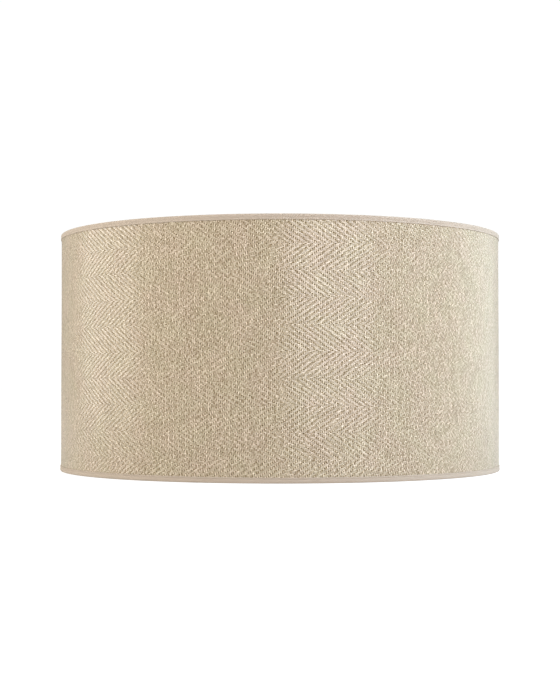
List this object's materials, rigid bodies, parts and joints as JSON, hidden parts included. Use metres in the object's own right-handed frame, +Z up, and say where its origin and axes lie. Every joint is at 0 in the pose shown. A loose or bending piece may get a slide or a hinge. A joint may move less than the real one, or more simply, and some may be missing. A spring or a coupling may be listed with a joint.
{
  "type": "drum lamp shade",
  "caption": "Straight cylindrical lamp shade in herringbone linen on a stiff white lining, with narrow edge tape, wire hoops and a reversible gimbal fitting.",
  "frame": {"origin": "centre of the bottom rim plane", "axes": "+Z up along the shade's axis, front at -Y, the lap seam at the back (+Y), the gimbal pivots along X"},
  "size_m": [0.4, 0.4013, 0.212],
  "materials": {
    "linen": "matte",
    "edge_tape": "matte",
    "backing": "satin",
    "adhesive": "satin",
    "frame_wire": "satin",
    "rivet": "satin",
    "reducer": "satin"
  },
  "bodies": {
    "shade": {"cover_fabric": "linen", "backing_sheet": "backing", "seam_tape": "adhesive", "top_trim": "edge_tape", "bottom_trim": "edge_tape", "top_ring": "frame_wire", "bottom_ring": "frame_wire", "spoke_1": "frame_wire", "spoke_2": "frame_wire", "spoke_3": "frame_wire", "carrier_band": "frame_wire", "pivot_pin_left": "rivet", "pivot_pin_right": "rivet", "pivot_spacer_left": "rivet", "pivot_spacer_right": "rivet"},
    "gimbal": {"lampholder_ring": "frame_wire"},
    "reducer": {"reducer_ring": "reducer"}
  },
  "joints": [
    {"name": "gimbal_pivot", "type": "hinge", "parent": "shade", "child": "gimbal", "pos_m": [0, 0, 0.183], "axis": [1, 0, 0], "range_deg": [-180, 180]},
    {"name": "reducer_lift", "type": "slide", "parent": "gimbal", "child": "reducer", "axis": [0, 0, 1], "range_m": [0, 0.05]}
  ]
}
